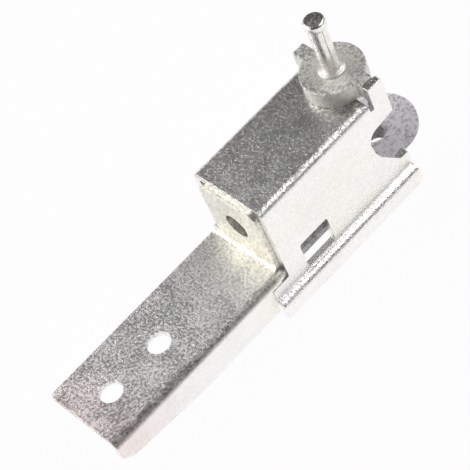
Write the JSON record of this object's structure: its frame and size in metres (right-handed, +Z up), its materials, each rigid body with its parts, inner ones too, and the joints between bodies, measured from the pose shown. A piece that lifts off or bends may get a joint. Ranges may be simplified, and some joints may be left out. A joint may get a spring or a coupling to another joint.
{
  "type": "fridge door hinge",
  "caption": "Steel door hinge bracket for a fridge: a flanged screw-on arm, a raised folded housing with stop washer and upright door pin, and a round lug for the levelling foot.",
  "frame": {"origin": "on the arm's top face, midway between the two screw holes", "axes": "+X along the arm towards the pin end, +Z up, parallel to the door pin, +Y across the bracket to the side with no flange"},
  "size_m": [0.1192, 0.03, 0.059],
  "materials": {
    "plate": "zinc plated, mottled",
    "fittings": "zinc plated, satin"
  },
  "bodies": {
    "root": {"arm": "plate", "housing": "plate", "foot_plate": "plate", "stop_washer": "fittings", "pin": "fittings"}
  },
  "joints": []
}
